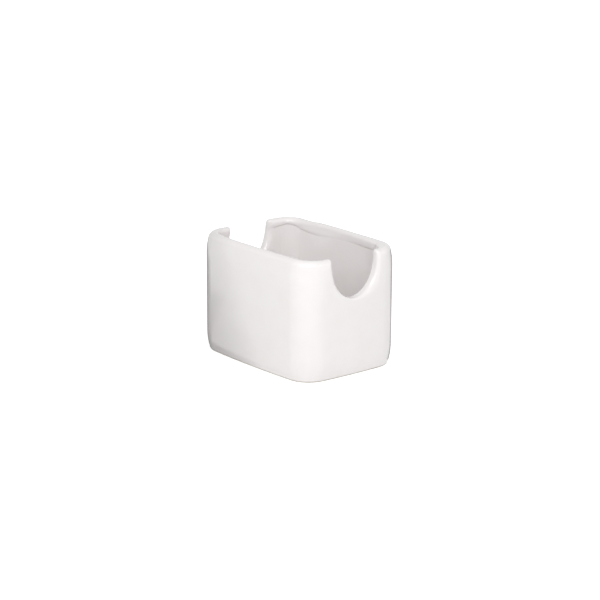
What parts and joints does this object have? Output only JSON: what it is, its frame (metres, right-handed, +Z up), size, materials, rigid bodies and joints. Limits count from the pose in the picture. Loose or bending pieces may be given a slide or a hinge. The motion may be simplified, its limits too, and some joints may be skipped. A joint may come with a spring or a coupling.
{
  "type": "sugar packet holder",
  "caption": "Glazed china box with an open top, bowed walls and a finger notch in each short wall, for holding sugar packets on edge.",
  "frame": {"origin": "centre of the foot on the table, under the middle of the holder", "axes": "+X along the length, through both finger notches; +Y across the width; +Z up, out of the open top"},
  "size_m": [0.089, 0.0658, 0.0619],
  "materials": {
    "bare_clay": "matt, fine-grained fired clay",
    "white_glaze": "clear glossy glaze over white china"
  },
  "bodies": {
    "root": {"clay_body": "bare_clay", "glaze_coat": "white_glaze", "well_glaze": "white_glaze"}
  },
  "joints": []
}
